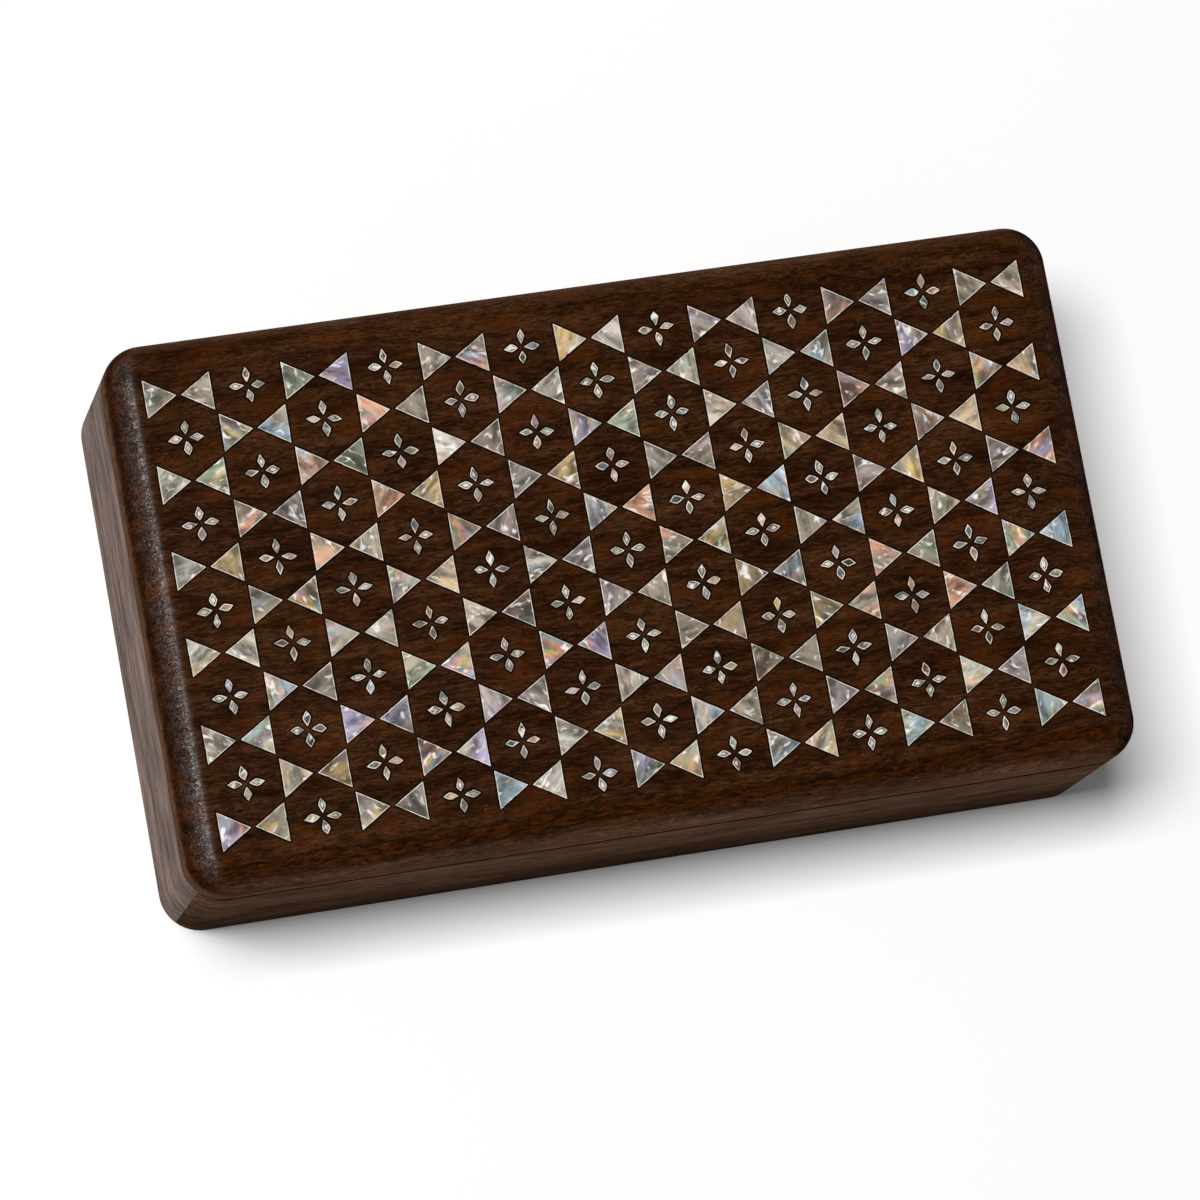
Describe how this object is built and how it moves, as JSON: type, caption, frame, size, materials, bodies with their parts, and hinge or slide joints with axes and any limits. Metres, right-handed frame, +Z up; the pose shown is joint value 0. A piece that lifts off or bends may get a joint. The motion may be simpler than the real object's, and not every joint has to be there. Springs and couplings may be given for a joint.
{
  "type": "inlaid wooden box",
  "caption": "Rounded rectangular hinged wooden box, its lid inlaid with a star lattice of mother-of-pearl triangles and four-petalled flowers; lined inside.",
  "frame": {"origin": "centre of the underside, on the surface that the box stands on", "axes": "+X along the length, +Z up through the lid, hinges at +Y, front at -Y"},
  "size_m": [0.25, 0.143, 0.064],
  "materials": {
    "lid_wood": "dark walnut, satin oil finish",
    "wall_wood": "dark walnut, satin oil finish",
    "panel_wood": "dark stained board",
    "mother_of_pearl": "polished iridescent shell",
    "mastic": "black shellac mastic round the shell",
    "brass": "brushed",
    "velvet": "short-pile velvet"
  },
  "bodies": {
    "base": {"back_lining": "velvet", "back_wall": "wall_wood", "bottom_panel": "panel_wood", "floor_lining": "velvet", "front_lining": "velvet", "front_wall": "wall_wood", "hinge_base_leaves": "brass", "hinge_pins": "brass", "left_lining": "velvet", "left_wall": "wall_wood", "right_lining": "velvet", "right_wall": "wall_wood"},
    "lid": {"lid_board": "lid_wood", "lid_lining": "velvet", "hinge_lid_leaves": "brass", "shell_petals_01": "mother_of_pearl", "shell_petals_02": "mother_of_pearl", "shell_petals_03": "mother_of_pearl", "shell_petals_04": "mother_of_pearl", "shell_petals_05": "mother_of_pearl", "shell_petals_06": "mother_of_pearl", "shell_petals_07": "mother_of_pearl", "shell_petals_08": "mother_of_pearl", "shell_petals_09": "mother_of_pearl", "shell_petals_10": "mother_of_pearl", "shell_petals_11": "mother_of_pearl", "shell_petals_12": "mother_of_pearl", "shell_petals_13": "mother_of_pearl", "shell_triangles_01": "mother_of_pearl", "shell_triangles_02": "mother_of_pearl", "shell_triangles_03": "mother_of_pearl", "shell_triangles_04": "mother_of_pearl", "shell_triangles_05": "mother_of_pearl", "shell_triangles_06": "mother_of_pearl", "shell_triangles_07": "mother_of_pearl", "shell_triangles_08": "mother_of_pearl", "shell_triangles_09": "mother_of_pearl", "shell_triangles_10": "mother_of_pearl", "shell_triangles_11": "mother_of_pearl", "shell_triangles_12": "mother_of_pearl", "shell_triangles_13": "mother_of_pearl"}
  },
  "joints": [
    {"name": "lid_hinge", "type": "hinge", "parent": "base", "child": "lid", "pos_m": [0, 0.0697, 0.052], "axis": [-1, 0, 0], "range_deg": [0, 100]}
  ]
}
